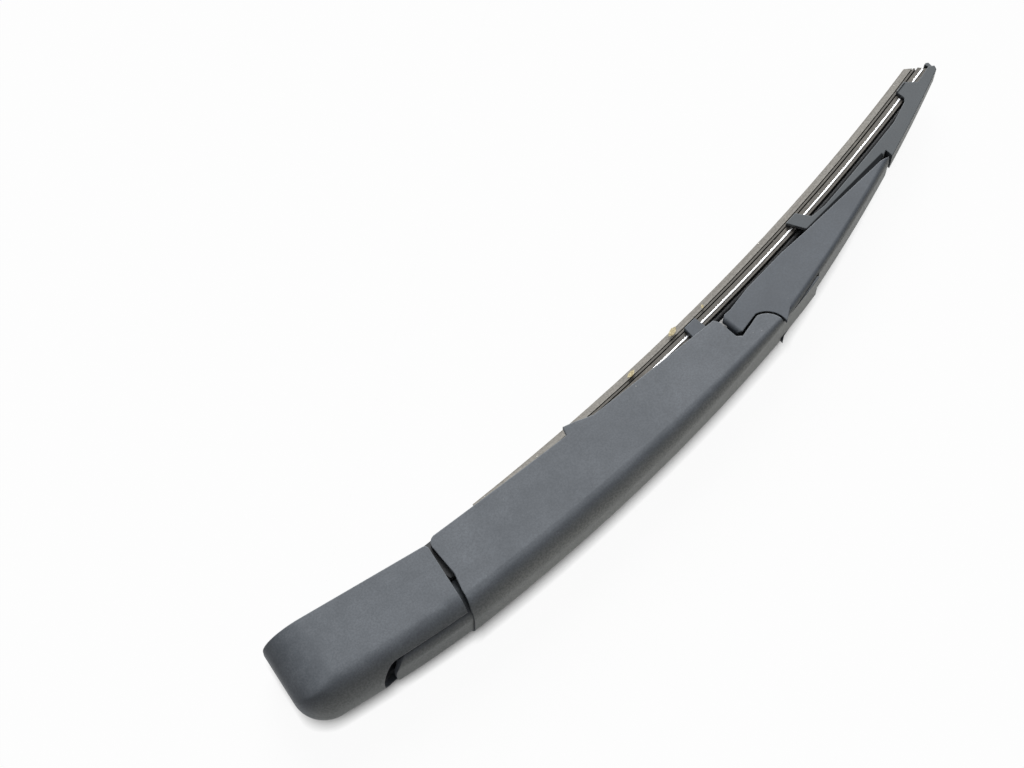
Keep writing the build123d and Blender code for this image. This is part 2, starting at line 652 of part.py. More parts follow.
def make_primary_lever():
    end_x = NOSE[0] - 12
    taper = [(end_x - OVERRUN, PRIMARY_WIDTH / 2 + 1.0), (PRIMARY_TIP_X + 2, PRIMARY_TIP_WIDTH / 2)]
    shroud = slab(primary_side(), PRIMARY_WIDTH) & plan_prism(taper)
    lever = fillet([e for e in shroud.edges() if is_primary_roll(e)], PRIMARY_ROLL_R)
    slot_x1 = ARM_X1 + BACK_TONGUE_LENGTH + 2.4
    room = BACK_TONGUE_WALL + BACK_TONGUE_ROOM
    band = NOSE_R + NOSE_GAP + PRIMARY_NOSE_BAND
    hollow = outline(
        polar(NOSE, band, 130),
        ThreePointArc(polar(NOSE, band, 130), polar(NOSE, band, 90), polar(NOSE, band, 50)),
        BACK.normal(slot_x1 - 14.0, room + PRIMARY_WEB),
        BACK.normal(slot_x1 + 1.0, room + PRIMARY_WEB),
        BACK.edge(slot_x1 + 6.0, PRIMARY_TIP_X + 2, PRIMARY_WEB * 1.1),
        blade(PIN_RUN + OVERRUN, 0),
        blade(-OVERRUN, 0),
    )
    inner_taper = [(x, max(h - PRIMARY_WALL, PRIMARY_IN)) for x, h in taper]
    lever -= slab(hollow, PRIMARY_WIDTH) & plan_prism(inner_taper)
    lever -= make_back_slot(slot_x1, room)
    lever += make_near_arm()
    lever -= post(PIVOT, INSERT_R + PIN_FIT, -PRIMARY_WIDTH, PRIMARY_WIDTH)
    pin_half = PRIMARY_IN + 1.0
    lever -= post(FAR_PIN, LEVER_PIN_R + PIN_FIT, -pin_half, pin_half)
    return lever - post(NEAR_PIN, LEVER_PIN_R + PIN_FIT, -pin_half, pin_half)


def make_back_slot(slot_x1, room):
    """Slot in the lever's back where the arm's tongue lies flush."""
    face = outline(
        (NOSE[0] + NOSE_R - 2, BACK.y(ARM_X1) - OVERRUN),
        BACK.normal(ARM_X1 - 3, room),
        BACK.normal(slot_x1, room),
        (slot_x1, BACK.y(slot_x1) - OVERRUN),
    )
    return slab(face, BACK_TONGUE_WIDTH / 2 + RUN_GAP)


def make_near_arm():
    """Half of the main lever that lies inside the arm, with its hub on the blade pivot."""
    rings = [
        Pos(*PIVOT) * CenterArc((0, 0), HUB_R, 0, 360),
        Pos(*NEAR_PIN) * CenterArc((0, 0), PRIMARY_NEAR_R, 0, 360),
    ]
    half = PRIMARY_TIP_WIDTH / 2
    arm = slab(make_hull([e for ring in rings for e in ring.edges()]), half)
    hub_edge = PIVOT[0] - HUB_R - 1.0
    lift = PRIMARY_NEAR_R - PRIMARY_WEB
    floor_near = blade(-PIN_RUN, PIN_BACK + lift)
    floor_hub = shift(PIVOT, -HUB_R - 1.0, -HUB_R + PRIMARY_WEB)
    hollow = outline(
        blade(-PIN_RUN - OVERRUN, PIN_BACK + lift),
        floor_near,
        floor_hub,
        (hub_edge, OVERRUN),
        blade(-PIN_RUN - OVERRUN, 0),
    )
    arm -= slab(hollow, PRIMARY_IN)
    hub_half = arm_half(PIVOT[0]) - ARM_WALL - RUN_GAP
    reach = NOSE_R + NOSE_GAP + PRIMARY_NOSE_BAND
    bridge = outline(
        shift(PIVOT, -HUB_R, 0),
        polar(NOSE, reach, 125),
        polar(NOSE, reach, 60),
        shift(PIVOT, HUB_R, 0),
    )
    return arm + post(PIVOT, HUB_R, -hub_half, hub_half) + slab(bridge, hub_half)


def claw_points(s, step):
    """Glass-side edge of one claw, walked in the direction of step."""
    half = 0.5 * CLAW_LENGTH * step
    return [blade(s - half - step, RUBBER_HEIGHT + 1.5), blade(s - half, CLAW_DEPTH),
            blade(s + half, CLAW_DEPTH), blade(s + half + step, RUBBER_HEIGHT + 1.5)]


def lever_solid(block, pin, web_floor, claws):
    """Second lever: a channel open towards the glass, with a pin hub and claw lips."""
    half = LEVER_WIDTH / 2
    inner = half - LEVER_WALL
    lever = block - slab(web_floor, inner)
    lever += post(pin, LEVER_HUB_R, -half, half)
    for s in claws:
        run = CLAW_LENGTH / 2
        lip = outline(
            blade(s - run, CLAW_DEPTH),
            blade(s + run, CLAW_DEPTH),
            blade(s + run, CLAW_DEPTH + CLAW_LIP),
            blade(s - run, CLAW_DEPTH + CLAW_LIP),
        )
        lip_in = NECK_WIDTH / 2 + RUN_GAP
        lips = slab(lip, half) - slab(lip, lip_in)
        lever += lips
    return lever - post(pin, LEVER_PIN_R + PIN_FIT, -half, half)


def make_far_lever():
    step_x = PRIMARY_TIP_X + 3.5
    inner_end = FAR_INNER_CLAW - 0.5 * CLAW_LENGTH
    outer_end = FAR_OUTER_CLAW + 0.5 * CLAW_LENGTH
    hub_low = BACK.normal(FAR_PIVOT_X, FAR_PIVOT_LIFT - LEVER_HUB_R)
    tip = BACK.at(FAR_TIP_X)
    side = outline(
        blade(inner_end + 4.3, 16.5),
        blade(PIN_RUN - 7.0, PIN_BACK - 0.5),
        hub_low,
        BACK.at(step_x, FAR_STEP_DEPTH),
        BACK.edge(step_x + 0.6, FAR_TIP_X),
        shift(tip, 0.6, 2.2),
        shift(tip, -2.0, 3.4),
        blade(outer_end + 4.0, RUBBER_HEIGHT + 0.4),
        blade(outer_end, CLAW_DEPTH),
        blade(outer_end - CLAW_LENGTH, CLAW_DEPTH),
        blade(outer_end - CLAW_LENGTH - 1.0, RUBBER_HEIGHT),
        blade(outer_end - CLAW_LENGTH - 3.0, RUBBER_HEIGHT + 1.2),
        blade_edge(outer_end - CLAW_LENGTH - 16.0, inner_end + 19.0, LEVER_ARCH),
        blade(inner_end + 10.5, 11.7),
        blade(inner_end + CLAW_LENGTH, CLAW_DEPTH),
        blade(inner_end, CLAW_DEPTH),
    )
    half = LEVER_WIDTH / 2
    taper = [(0, half), (step_x, half), (FAR_TIP_X + 2, FAR_TIP_WIDTH / 2)]
    block = slab(side, half) & plan_prism(taper)
    floor = outline(
        blade(inner_end + 3.0, 16.5 - LEVER_WEB),
        blade(PIN_RUN - 7.0, PIN_BACK - 0.5 - LEVER_WEB),
        BACK.normal(FAR_PIVOT_X, FAR_PIVOT_LIFT - LEVER_HUB_R + LEVER_WEB),
        BACK.at(step_x + LEVER_WEB, FAR_STEP_DEPTH + LEVER_WEB),
        BACK.edge(step_x + 2 * LEVER_WEB, FAR_TIP_X - 3.0, LEVER_WEB),
        blade(outer_end + 12.0, -OVERRUN),
        blade(inner_end - OVERRUN, -OVERRUN),
        blade(inner_end - OVERRUN, 16.5 - LEVER_WEB),
    )
    return lever_solid(block, FAR_PIN, floor, (FAR_INNER_CLAW, FAR_OUTER_CLAW)) + make_end_stop(tip)


def make_end_stop(tip):
    """Turned-down end of the outer lever that keeps the rubber from sliding out."""
    near = RUBBER_FAR_END + END_STOP_GAP
    far = near + END_STOP_WALL
    face = outline(
        shift(tip, -2.0, 1.0),
        shift(tip, 0.2, 1.6),
        blade(far, END_STOP_BACK + 1.0),
        blade(far - 1.0, END_STOP_BACK),
        blade(near, END_STOP_BACK),
        blade(near, RUBBER_HEIGHT + END_STOP_GAP),
        blade(near - END_STOP_WALL, RUBBER_HEIGHT + END_STOP_GAP),
    )
    return slab(face, END_STOP_WIDTH / 2)


def make_near_lever():
    inner = -NEAR_INNER_CLAW
    outer = -NEAR_OUTER_CLAW
    tip = outer - NEAR_TIP_RUN
    hub_back = PIN_BACK + LEVER_HUB_R
    inner_end = inner + 0.5 * CLAW_LENGTH
    inner_claw = claw_points(inner, -1)
    outer_claw = claw_points(outer, -1)
    back = [
        blade(tip, RUBBER_HEIGHT + 3.5),
        blade(outer + 20.0, 17.0),
        blade(-PIN_RUN - 3.0, hub_back),
        blade(-PIN_RUN + 3.0, hub_back),
        blade(inner_end, RUBBER_HEIGHT + 5.0),
    ]
    arch = blade_edge(inner - 14.0, outer + 14.0, LEVER_ARCH)
    side = outline(*back, *inner_claw[1:], arch, *outer_claw[:3], blade(tip, RUBBER_HEIGHT + 0.6))
    floor = outline(
        blade(tip - OVERRUN, RUBBER_HEIGHT + 3.5 - LEVER_WEB),
        blade(tip, RUBBER_HEIGHT + 3.5 - LEVER_WEB),
        blade(outer + 20.0, 17.0 - LEVER_WEB),
        blade(-PIN_RUN - 3.0, hub_back - LEVER_WEB),
        blade(-PIN_RUN + 3.0, hub_back - LEVER_WEB),
        blade(inner_end, RUBBER_HEIGHT + 5.0 - LEVER_WEB),
        blade(inner_end + OVERRUN, RUBBER_HEIGHT + 5.0 - LEVER_WEB),
        blade(inner_end + OVERRUN, -OVERRUN),
        blade(tip - OVERRUN, -OVERRUN),
    )
    return lever_solid(slab(side, LEVER_WIDTH / 2), NEAR_PIN, floor, (inner, outer))


def make_hinge_bush():
    z1 = TONGUE_WIDTH / 2
    ring = post(HINGE, HINGE_BUSH_R, TONGUE_INNER, z1)
    return ring - post(HINGE, HINGE_PIN_R + PIN_FIT, TONGUE_INNER, z1)


def make_pivot_insert():
    half = arm_half(PIVOT[0]) - ARM_WALL - RUN_GAP
    return post(PIVOT, INSERT_R, -half, half) - post(PIVOT, BLADE_PIN_R + PIN_FIT, -half, half)


def make_pin(point, radius, half):
    return post(point, radius, -half, half)


def main():
    os.makedirs("parts", exist_ok=True)
    bush = make_hinge_bush()
    strip = make_strip()
    anchor_half = arm_half(ANCHOR_X) - ARM_WALL / 2 - PIN_FIT
    pivot_half = arm_half(PIVOT[0]) - ARM_WALL / 2 - PIN_FIT
    lever_pin_half = PRIMARY_IN + 1.0 - PIN_FIT
    nodes = {
        "head_cover": make_head_cover(),
        "mounting_head": make_mounting_head(),
        "hinge_pin": make_pin(HINGE, HINGE_PIN_R, HALF_HEAD - COVER_WALL / 2 - PIN_FIT),
        "hinge_bush_upper": bush,
        "hinge_bush_lower": mirror(bush, about=Plane.XY),
        "spring_link": make_spring_link(),
        "spring_link_pin": make_pin(LINK_PIN, LINK_PIN_R, TONGUE_INNER - RUN_GAP),
        "tension_spring": make_tension_spring(),
        "spring_anchor_pin": make_pin(ANCHOR, ANCHOR_PIN_R, anchor_half),
        "arm_body": make_arm_body(),
        "blade_pivot_pin": make_pin(PIVOT, BLADE_PIN_R, pivot_half),
        "pivot_insert": make_pivot_insert(),
        "primary_lever": make_primary_lever(),
        "far_lever": make_far_lever(),
        "far_lever_pin": make_pin(FAR_PIN, LEVER_PIN_R, lever_pin_half),
        "near_lever": make_near_lever(),
        "near_lever_pin": make_pin(NEAR_PIN, LEVER_PIN_R, lever_pin_half),
        "wiper_rubber": make_rubber(),
        "backing_strip_upper": strip,
        "backing_strip_lower": mirror(strip, about=Plane.XY),
    }
    for name, solid in nodes.items():
        export_step(solid, f"parts/{name}.step")


main()
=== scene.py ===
import math

import bpy
from mathutils import Matrix, Vector


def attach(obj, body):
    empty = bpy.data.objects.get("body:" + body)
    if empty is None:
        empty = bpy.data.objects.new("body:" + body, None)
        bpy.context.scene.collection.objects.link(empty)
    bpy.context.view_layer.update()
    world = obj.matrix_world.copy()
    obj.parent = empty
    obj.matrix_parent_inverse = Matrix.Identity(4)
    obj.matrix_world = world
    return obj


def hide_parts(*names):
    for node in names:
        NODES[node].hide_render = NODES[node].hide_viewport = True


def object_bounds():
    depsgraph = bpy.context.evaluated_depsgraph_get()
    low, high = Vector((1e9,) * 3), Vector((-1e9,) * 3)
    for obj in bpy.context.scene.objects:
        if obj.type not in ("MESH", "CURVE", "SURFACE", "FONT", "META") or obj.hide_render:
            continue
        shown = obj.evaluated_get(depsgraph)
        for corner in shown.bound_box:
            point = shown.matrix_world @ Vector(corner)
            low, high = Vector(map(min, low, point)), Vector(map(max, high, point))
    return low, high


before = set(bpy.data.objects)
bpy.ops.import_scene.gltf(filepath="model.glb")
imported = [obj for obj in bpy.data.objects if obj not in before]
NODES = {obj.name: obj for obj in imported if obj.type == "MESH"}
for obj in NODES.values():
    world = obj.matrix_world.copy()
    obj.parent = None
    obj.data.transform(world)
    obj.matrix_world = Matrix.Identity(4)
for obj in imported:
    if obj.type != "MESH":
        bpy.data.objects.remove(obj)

CAD_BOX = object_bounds()
MM = 0.001

# Viewing place, metres, with the lens and the picture width it is meant for, millimetres
EYE = Vector((-0.1043, -0.3120, 0.7489))
LOOK = Vector((0.273, 0.419, -0.866))
LENS = 70.3125
PICTURE_WIDTH = 36.0
NEAREST_VIEW = 0.01

# Light levels: a level surface gets about 1 in all
SKY_LEVEL = 0.13
SKY_BLUE = 1.03
SUN_LEVEL = 0.84
SUN_SPREAD = math.radians(38)
SUN_FROM = Vector((0.42, 0.78, 0.50))

# White floor: half its width, how much of it glows, and how far the painted shadow of the object reaches
# over it, metres
FLOOR_REACH = 6.0
FLOOR_GLOW = 0.97
FLOOR_BOUNCE = 0.22
CONTACT_REACH = 6 * MM
SHADE_REACH = 30 * MM
SHADE_OPEN = (0.2, 0.48)
PAPER_SEEN = (0.985, 0.985, 0.985, 1.0)
PAPER_LIT = (0.85, 0.85, 0.85, 1.0)
PAINTED_CONTACT_SHADOW = (0.03, 0.03, 0.03, 1.0)
FULL_WHITE = (1.0, 1.0, 1.0, 1.0)

# The blade's bow in the XY plane, metres: middle of the lip, lean there and radius
BLADE_MID = Vector((0.2350, 0.0426))
BLADE_LEAN = math.radians(15.57)
BLADE_BOW = 1.286
BOW_CENTRE = BLADE_MID + BLADE_BOW * Vector((-math.sin(BLADE_LEAN), math.cos(BLADE_LEAN)))

# Rubber, back from the lip's edge, metres: where the worn edge and the lip end; streaks per metre
LIP_EDGE = (0.15 * MM, 0.7 * MM)
LIP_END = (2.9 * MM, 3.5 * MM)
STREAKS_ALONG = 14
STREAKS_ACROSS = 900

# Dark bead on the rubber's back, painting the shade there, metres: its ends along the bow, distance back
# from the lip, and radius
BEAD_ENDS = (-0.015, 0.133)
BEAD_BACK = 10.9 * MM
BEAD_R = 1.6 * MM

# Tension spring between the link's hook and the anchor pin, metres
LINK_PIN = Vector((0.0360, -0.0170, 0.0))
ANCHOR = Vector((0.10585, -0.02215, 0.0))
SPRING_ALONG = (ANCHOR - LINK_PIN).normalized()
SPRING_TURN = math.atan2(SPRING_ALONG.y, SPRING_ALONG.x)
COIL_R = 0.0038
WIRE_R = 0.0007
COIL_TURNS = 14.0
COIL_START = LINK_PIN + SPRING_ALONG * 0.0284
COIL_END = ANCHOR - SPRING_ALONG * 0.0056
LINK_RING = LINK_PIN + SPRING_ALONG * 0.0261
ANCHOR_RING = ANCHOR - SPRING_ALONG * 0.0003
ANCHOR_RING_R = 0.0028

# Painted shadow line on the far lever along the primary lever's glass-side edge, metres: start and slope of
# that edge, the line's width at the start, its growth toward the tip, its soft rim and its end
PLATE_EDGE = Vector((0.2940, 0.0436))
PLATE_SLOPE = 0.2436
LINE_WIDTH = 2.1 * MM
LINE_GROWTH = 0.025
LINE_RIM = (-0.25 * MM, 0.35 * MM)
LINE_END = (339.5 * MM, 340.5 * MM)

# Head end of the cover, metres: where its wide rounding fades out along X and Y; rounding radius there,
# on the other edges of the mouldings, and on metal and nylon
HEAD_END_X = (7 * MM, 16 * MM)
HEAD_END_Y = (-12 * MM, -5 * MM)
HEAD_ROUNDING = 4.5 * MM
EDGE_ROUNDING = 0.6 * MM
SMALL_ROUNDING = 0.25 * MM

# Painted light on the side facing -Y grows paler from the head to the arm between these places, metres
PALE_SIDE_RISE = (50 * MM, 90 * MM)

# Painted shade darkens gaps and hollows of these sizes, metres
GAP_SIZE = 3.5 * MM
HOLLOW_SIZE = 14 * MM

# Dark sheet of painted shade behind the seam, shaped as the arm's inner edge, millimetres: its outline in
# the XY plane, and its reach in Z at each side
FLANGE_INNER = [(58.3, -17.0), (57.1, -13.5), (54.9, -2.0), (56.3, 0.8)]
FLANGE_OUTER = [(60.2, 1.4), (63.0, -1.0), (63.0, -17.0)]
FLANGE_REACH = [(5.3, 10.7), (-10.7, -5.3)]

# Bits of leaf, millimetres: place, length, width and turn of each; outline of one; heights of its two sides;
# curl of its ends and edges, and veins per metre
LEAVES = [((203.9, 32.7), 6.0, 2.6, 0.4), ((222.6, 36.2), 2.2, 1.2, 0.9), ((176.6, 25.0), 5.2, 2.0, 0.3)]
LEAF_OUTLINE = [(-0.5, 0.0), (-0.2, 0.42), (0.2, 0.5), (0.5, 0.1), (0.22, -0.45), (-0.18, -0.5)]
LEAF_HEIGHTS = (2.75, 2.95)
LEAF_CURL = 0.5
LEAF_VEINS = (900, 2500, 900)

# Dust on the rubber: specks per square metre, radius in metres, flatness, and spread of sizes
DUST_DENSITY = 6500.0
DUST_R = 0.42 * MM
DUST_FLATNESS = (1.0, 0.65, 0.3)
DUST_SIZES = (0.4, 1.3)
DUST_SEED = 7

MIX_FACTOR, MIX_FIRST, MIX_SECOND, MIX_RESULT = 0, 6, 7, 2
RANDOM_LOW, RANDOM_HIGH, RANDOM_RESULT = 2, 3, 1


class Shade:
    """One socket of a material; sums on it become Math nodes."""

    family = "ShaderNode"

    def __init__(self, tree, socket=None):
        self.tree = tree
        self.socket = socket

    def node(self, kind, settings=None, inputs=None, out=0):
        """Adds a node: its settings come first, then the values or links of its sockets."""
        made = self.tree.nodes.new(kind if "Node" in kind else self.family + kind)
        for name, value in (settings or {}).items():
            setattr(made, name, value)
        for key, value in (inputs or {}).items():
            self.feed(made.inputs[key], value)
        return type(self)(self.tree, made.outputs[out])

    def feed(self, socket, value):
        """Links a socket, or several in a list, to an input, or sets the input to a plain value."""
        if isinstance(value, Shade):
            self.tree.links.new(value.socket, socket)
        elif isinstance(value, list):
            for each in value:
                self.tree.links.new(each.socket, socket)
        else:
            socket.default_value = value

    def other(self, name):
        """Another output of the same node."""
        return type(self)(self.tree, self.socket.node.outputs[name])

    def math(self, operation, *values):
        return self.node("Math", {"operation": operation}, dict(enumerate(values)))

    def __add__(self, other):
        return self.math("ADD", self, other)

    __radd__ = __add__

    def __sub__(self, other):
        return self.math("SUBTRACT", self, other)

    def __rsub__(self, other):
        return self.math("SUBTRACT", other, self)

    def __mul__(self, other):
        return self.math("MULTIPLY", self, other)

    __rmul__ = __mul__

    def __pow__(self, other):
        return self.math("POWER", self, other)

    def step(self, low, high):
        """Smooth rise from 0 at low to 1 at high."""
        ends = {"Value": self, "From Min": low, "From Max": high}
        return self.node("MapRange", {"interpolation_type": "SMOOTHSTEP"}, ends)

    def mix(self, factor, first, second):
        """Colour between the first, at 0, and the second, at 1."""
        inputs = {MIX_FACTOR: factor, MIX_FIRST: first, MIX_SECOND: second}
        return self.node("Mix", {"data_type": "RGBA"}, inputs, MIX_RESULT)

    def place(self):
        """Place on the object, metres."""
        return self.node("TexCoord", out="Object")

    def noise(self, vector, scale, detail=3.0, roughness=0.55):
        inputs = {"Vector": vector, "Scale": scale, "Detail": detail, "Roughness": roughness}
        return self.node("TexNoise", None, inputs)

    def stretched(self, vector, scale):
        return self.node("Mapping", None, {"Vector": vector, "Scale": scale})

    def parts(self, vector):
        """The x, y and z of a vector."""
        first = self.node("SeparateXYZ", None, {"Vector": vector})
        return [first.other(name) for name in "XYZ"]

    def edge(self, radius):
        """Softened normal, and how strongly the surface turns within the radius."""
        soft = self.node("Bevel", {"samples": 6}, {"Radius": radius})
        flat = self.node("NewGeometry", out="Normal")
        alike = self.node("VectorMath", {"operation": "DOT_PRODUCT"}, {0: soft, 1: flat}, "Value")
        return soft, 1 - alike

    def openness(self, distance, samples, **settings):
        """1 where nothing stands within the distance of the surface, 0 where it is shut in."""
        return self.node("AmbientOcclusion", {"samples": samples, **settings}, {"Distance": distance}, "AO")

    def cover(self, shader, share, layer):
        """Lays a second surface over the shader's own by the given share."""
        own = Shade(self.tree, shader.outputs["BSDF"])
        surface = self.node("MixShader", None, {0: share, 1: own, 2: layer})
        self.feed(self.tree.nodes["Material Output"].inputs["Surface"], surface)


class Growth(Shade):
    """One socket of a Geometry Nodes tree."""

    family = "GeometryNode"


def colour(red, green, blue):
    """Colour from its 0 to 255 screen values."""

    def linear(value):
        share = value / 255
        return share / 12.92 if share <= 0.04045 else ((share + 0.055) / 1.055) ** 2.4

    return (linear(red), linear(green), linear(blue), 1.0)


def new_material(name, **constants):
    """Material with its constant values set on the shader's own sockets."""
    material = bpy.data.materials.new(name)
    material.use_nodes = True
    shader = material.node_tree.nodes["Principled BSDF"]
    for key, value in constants.items():
        shader.inputs[key.replace("_", " ")].default_value = value
    return material, shader, Shade(material.node_tree)


def painted_hollow_shade(s):
    """How deep in a gap or a hollow the surface lies, from 0 to 1, as the share of painted shade there."""
    gap = 0.9 * (1 - s.openness(GAP_SIZE, samples=6).step(0.2, 0.7))
    hollow = 0.85 * (1 - s.openness(HOLLOW_SIZE, samples=6, only_local=True).step(0.3, 0.65))
    return s.math("MAXIMUM", gap, hollow)


def paint_shade_over(s, shader, dark):
    """Lays a dull near-black over the shader where dark is 1, as painted shade."""
    s.cover(shader, dark, s.node("BsdfDiffuse", None, {"Color": colour(20, 21, 23)}))


def painted_plate_shadow(s, here):
    """Painted shadow: 1 on the strip of the far lever that lies close along the primary lever's edge, wider
    at the tip.
    """
    x, y, _ = s.parts(here)
    off = y - (PLATE_EDGE.y + PLATE_SLOPE * (x - PLATE_EDGE.x))
    width = LINE_WIDTH + LINE_GROWTH * (x - PLATE_EDGE.x)
    return (1 - (off - width).step(*LINE_RIM)) * (1 - x.step(*LINE_END))


def faded_plastic(name, low, high, edge_wear_and_sheen=0.5, with_plate_shadow=False):
    """Weathered moulding: fading, grain, pale dots, worn edges with painted sheen, painted light on its -Y
    side, painted shade in hollows.
    """
    material, shader, s = new_material(name, Specular_IOR_Level=0.3)
    here = s.place()
    x, y, _ = s.parts(here)
    head_end = (1 - x.step(*HEAD_END_X)) * (1 - y.step(*HEAD_END_Y))
    soft, wear_and_sheen = s.edge(EDGE_ROUNDING + head_end * HEAD_ROUNDING)
    _, facing, _ = s.parts(s.node("TexCoord", out="Normal"))
    # Painted light: faces turned to -Y are paler, as lit from the floor, more so from the head to the arm
    outer = (0 - facing).step(0.35, 0.95)
    clouds = s.noise(here, scale=45, detail=4.0)
    patches = s.noise(here, scale=170)
    grain = s.noise(here, scale=1150, detail=2.0, roughness=0.7)
    fade = clouds.step(0.3, 0.7) * 0.45 + patches.step(0.35, 0.7) * 0.25 + 0.1
    painted_side_light = s.mix(x.step(*PALE_SIDE_RISE), colour(136, 138, 135), colour(164, 165, 160))
    cells = s.node("TexVoronoi", {"feature": "F1"}, {"Vector": here, "Scale": 260.0})
    dots = (1 - cells.step(0.05, 0.09)) * s.noise(here, scale=90, detail=1.0).step(0.62, 0.68)
    base = s.mix(fade, low, high)
    base = s.mix(outer * 0.8, base, painted_side_light)
    # Edges paler from wear and from a painted sheen
    base = s.mix(wear_and_sheen.step(0.02, 0.35) * (1 - head_end) * edge_wear_and_sheen, base, colour(150, 153, 156))
    base = s.mix(grain.step(0.3, 0.7) * 0.42, base, colour(66, 70, 74))
    base = s.mix(dots * 0.6, base, colour(190, 190, 188))
    # Painted shade in gaps and hollows, and on the far lever a painted shadow line under the primary lever's
    # edge
    dark = painted_hollow_shade(s)
    if with_plate_shadow:
        dark = s.math("MAXIMUM", dark, 0.9 * painted_plate_shadow(s, here))
    bump = s.node("Bump", None, {"Strength": 0.12, "Distance": 0.1 * MM, "Height": grain, "Normal": soft})
    s.feed(shader.inputs["Base Color"], base)
    s.feed(shader.inputs["Roughness"], 0.5 + patches * 0.16)
    s.feed(shader.inputs["Normal"], bump)
    paint_shade_over(s, shader, dark)
    return material


def blade_depth(s, here):
    """Distance back from the lip, metres, measured square to the blade's bow."""
    x, y, _ = s.parts(here)
    across = x - BOW_CENTRE.x
    up = y - BOW_CENTRE.y
    return (across * across + up * up) ** 0.5 - BLADE_BOW


def blade_run(s, here):
    """Distance along the blade from its middle, metres."""
    x, y, _ = s.parts(here)
    return (x - BLADE_MID.x) * math.cos(BLADE_LEAN) + (y - BLADE_MID.y) * math.sin(BLADE_LEAN)


def aged_rubber():
    """Browned rubber: pale lip, darker body, streaks that follow the blade, and painted shade in its gaps
    and hollows.
    """
    material, shader, s = new_material("aged_rubber", Specular_IOR_Level=0.25)
    here = s.place()
    depth = blade_depth(s, here)
    drawn_out = {
        "X": blade_run(s, here) * STREAKS_ALONG,
        "Y": depth * STREAKS_ACROSS,
        "Z": s.parts(here)[2] * STREAKS_ACROSS,
    }
    streak = s.noise(s.node("CombineXYZ", None, drawn_out), scale=1.0)
    blotch = s.noise(here, scale=120)
    grain = s.noise(here, scale=1100, roughness=0.7)
    lip = 1 - depth.step(*LIP_END)
    edge = 1 - depth.step(*LIP_EDGE)
    base = s.mix(lip, colour(110, 107, 102), colour(134, 131, 125))
    base = s.mix(edge * 0.5, base, colour(116, 111, 104))
    base = s.mix(streak.step(0.4, 0.75) * 0.45, base, colour(96, 90, 84))
    base = s.mix(blotch.step(0.5, 0.75) * 0.3, base, colour(158, 152, 142))
    base = s.mix(grain.step(0.35, 0.7) * 0.5, base, colour(82, 80, 74))
    bump = s.node("Bump", None, {"Strength": 0.2, "Distance": 0.1 * MM, "Height": grain + streak})
    s.feed(shader.inputs["Base Color"], base)
    s.feed(shader.inputs["Roughness"], 0.6 + grain * 0.2)
    s.feed(shader.inputs["Normal"], bump)
    # Painted shade in the rubber's gaps and hollows
    paint_shade_over(s, shader, painted_hollow_shade(s))
    return material


def bare_metal(name, low, high, rough, marks, metallic=1.0):
    """Plain metal with fine marks drawn out along one way, and edges brighter from wear and a painted sheen.
    """
    material, shader, s = new_material(name, Metallic=metallic)
    here = s.place()
    soft, wear_and_sheen = s.edge(SMALL_ROUNDING)
    scratch = s.noise(s.stretched(here, marks), scale=1.0)
    cloud = s.noise(here, scale=240)
    base = s.mix(cloud.step(0.3, 0.7), low, high)
    base = s.mix(wear_and_sheen.step(0.03, 0.4) * 0.4, base, colour(225, 226, 228))
    bump = s.node("Bump", None, {"Strength": 0.1, "Distance": 0.05 * MM, "Height": scratch, "Normal": soft})
    s.feed(shader.inputs["Base Color"], base)
    s.feed(shader.inputs["Roughness"], rough + scratch * 0.2)
    s.feed(shader.inputs["Normal"], bump)
    return material


def plain_nylon(name, low, high):
    """Moulded nylon with a fine grain, and edges slightly paler from wear and a painted sheen."""
    material, shader, s = new_material(name, Specular_IOR_Level=0.35)
    soft, wear_and_sheen = s.edge(SMALL_ROUNDING)
    grain = s.noise(s.place(), scale=1500, detail=2.0)
    base = s.mix(grain.step(0.3, 0.7), low, high)
    base = s.mix(wear_and_sheen.step(0.05, 0.4) * 0.25, base, colour(150, 150, 148))
    s.feed(shader.inputs["Base Color"], base)
    s.feed(shader.inputs["Roughness"], 0.45 + grain * 0.2)
    s.feed(shader.inputs["Normal"], soft)
    return material


def dry_leaf():
    """Straw-coloured leaf with fine veins."""
    material, shader, s = new_material("dry_leaf", Specular_IOR_Level=0.2)
    veins = s.noise(s.stretched(s.place(), LEAF_VEINS), scale=1.0)
    base = s.mix(veins.step(0.35, 0.65), colour(158, 142, 100), colour(224, 213, 178))
    s.feed(shader.inputs["Base Color"], base)
    s.feed(shader.inputs["Roughness"], 0.6 + veins * 0.2)
    return material


def pale_dust():
    """Dull pale dust."""
    material, shader, s = new_material("pale_dust", Specular_IOR_Level=0.1)
    cloud = s.noise(s.place(), scale=700, detail=2.0)
    base = s.mix(cloud.step(0.35, 0.65), colour(168, 164, 156), colour(214, 211, 204))
    s.feed(shader.inputs["Base Color"], base)
    s.feed(shader.inputs["Roughness"], 0.8 + cloud * 0.1)
    return material


def put_on(material, *names):
    """Gives nodes a finish in place of the plain one they came with."""
    for name in names:
        slots = NODES[name].data.materials
        slots.clear()
        slots.append(material)


def bow_point(run, back, stretch=1.0):
    """Point of the blade's middle plane, metres: run along the bow from its middle, back from the lip."""
    turn = BLADE_LEAN + run / BLADE_BOW
    spot = BOW_CENTRE + (BLADE_BOW + back) * stretch * Vector((math.sin(turn), -math.cos(turn)))
    return Vector((spot.x, spot.y, 0.0))


def new_object(name, data):
    """Object in the scene, at the origin."""
    made = bpy.data.objects.new(name, data)
    bpy.context.scene.collection.objects.link(made)
    return made


